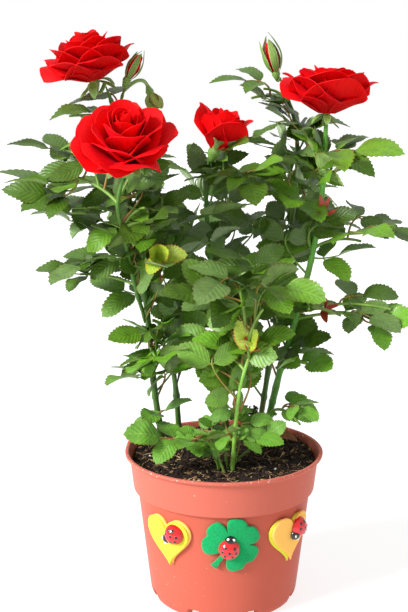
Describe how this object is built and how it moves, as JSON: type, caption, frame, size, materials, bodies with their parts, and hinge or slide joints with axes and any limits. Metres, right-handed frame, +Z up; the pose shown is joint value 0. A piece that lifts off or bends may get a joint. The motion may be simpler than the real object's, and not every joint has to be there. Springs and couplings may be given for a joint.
{
  "type": "potted rose bush",
  "caption": "Potted miniature rose bush with double red blooms and buds on green canes, in a round plastic pot with foam heart and shamrock ornaments.",
  "frame": {"origin": "centre of the flat middle pad on the pot's underside, level with its foot ring", "axes": "+Z up the plant, -Y towards the pot's ornamented front, +X to the right as seen from the front"},
  "size_m": [0.2863, 0.2076, 0.3688],
  "materials": {
    "pot_plastic": "moulded satin",
    "compost": "loose moist peat compost",
    "yellow_foam": "craft foam",
    "orange_foam": "craft foam",
    "green_foam": "craft felt",
    "red_enamel": "glossy painted wood",
    "black_enamel": "glossy painted wood",
    "canes": "green waxy bark",
    "young_shoot": "soft young bark",
    "petals": "velvety petals",
    "sepals": "waxy",
    "leaves": "semi-gloss leaves",
    "young_leaves": "semi-gloss young leaves"
  },
  "bodies": {
    "root": {"bloom_front": "petals", "bloom_left": "petals", "bloom_middle": "petals", "bloom_right": "petals", "bough_back_middle": "canes", "bough_back_right": "canes", "bough_left_bud": "canes", "bough_left_front": "canes", "bud_left": "sepals", "bud_right": "sepals", "bud_small": "sepals", "cane_back_left": "canes", "cane_back_right": "canes", "cane_centre": "canes", "cane_left": "canes", "cane_right": "canes", "heart_left": "yellow_foam", "heart_right": "orange_foam", "ladybird_left_body": "red_enamel", "ladybird_left_head": "black_enamel", "ladybird_middle_body": "red_enamel", "ladybird_middle_head": "black_enamel", "ladybird_right_body": "red_enamel", "ladybird_right_head": "black_enamel", "leaves_back_low": "leaves", "leaves_foot_left": "young_leaves", "leaves_foot_right": "young_leaves", "leaves_left_back": "leaves", "leaves_left_crest": "leaves", "leaves_left_inner": "leaves", "leaves_left_low": "leaves", "leaves_left_middle": "leaves", "leaves_left_top": "leaves", "leaves_left_upper": "leaves", "leaves_middle_back": "leaves", "leaves_middle_front": "leaves", "leaves_middle_low": "leaves", "leaves_middle_top": "leaves", "leaves_right_back": "leaves", "leaves_right_crest": "leaves", "leaves_right_low": "leaves", "leaves_right_middle": "leaves", "leaves_right_outer": "leaves", "leaves_right_top": "leaves", "leaves_right_upper": "leaves", "pot": "pot_plastic", "shamrock": "green_foam", "shoot_front": "young_shoot", "soil": "compost"}
  },
  "joints": []
}
